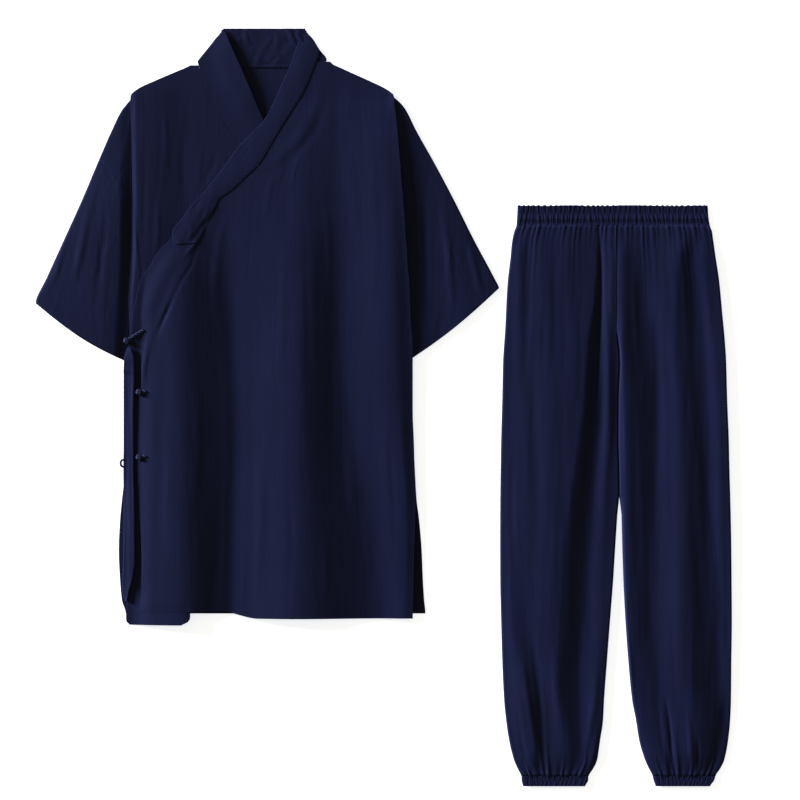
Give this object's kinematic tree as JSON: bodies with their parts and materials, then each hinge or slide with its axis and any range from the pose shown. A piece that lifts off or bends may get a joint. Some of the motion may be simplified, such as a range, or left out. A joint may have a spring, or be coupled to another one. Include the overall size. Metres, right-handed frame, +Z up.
{
  "type": "tai chi uniform",
  "caption": "Short-sleeved crossover top with a neckband, side flap and knot buttons, laid flat beside full trousers gathered at waist and ankles.",
  "frame": {"origin": "on the surface the uniform lies on, at the middle of the box round both pieces", "axes": "+Z up from the surface, +Y towards the neck and the waist, +X from the top towards the trousers"},
  "size_m": [1.1134, 1.211, 0.0157],
  "materials": {
    "cloth": "navy cotton and linen weave with fine upright slubs and a soft dull sheen",
    "cord": "navy rolled cloth cord, tightly knotted, slightly smoother than the cloth"
  },
  "bodies": {
    "root": {"back": "cloth", "neckband_back": "cloth", "sleeve_right": "cloth", "sleeve_left": "cloth", "front_right_under": "cloth", "front_left_over": "cloth", "neckband_under": "cloth", "neckband_over": "cloth", "side_strip": "cloth", "knot_1": "cord", "knot_1_cord": "cord", "knot_2": "cord", "knot_2_cord": "cord", "knot_3": "cord", "knot_3_cord": "cord", "knot_3_loop": "cord", "waistband": "cloth", "leg_back_right": "cloth", "leg_front_right": "cloth", "ankle_band_right": "cloth", "leg_back_left": "cloth", "leg_front_left": "cloth", "ankle_band_left": "cloth"}
  },
  "joints": []
}
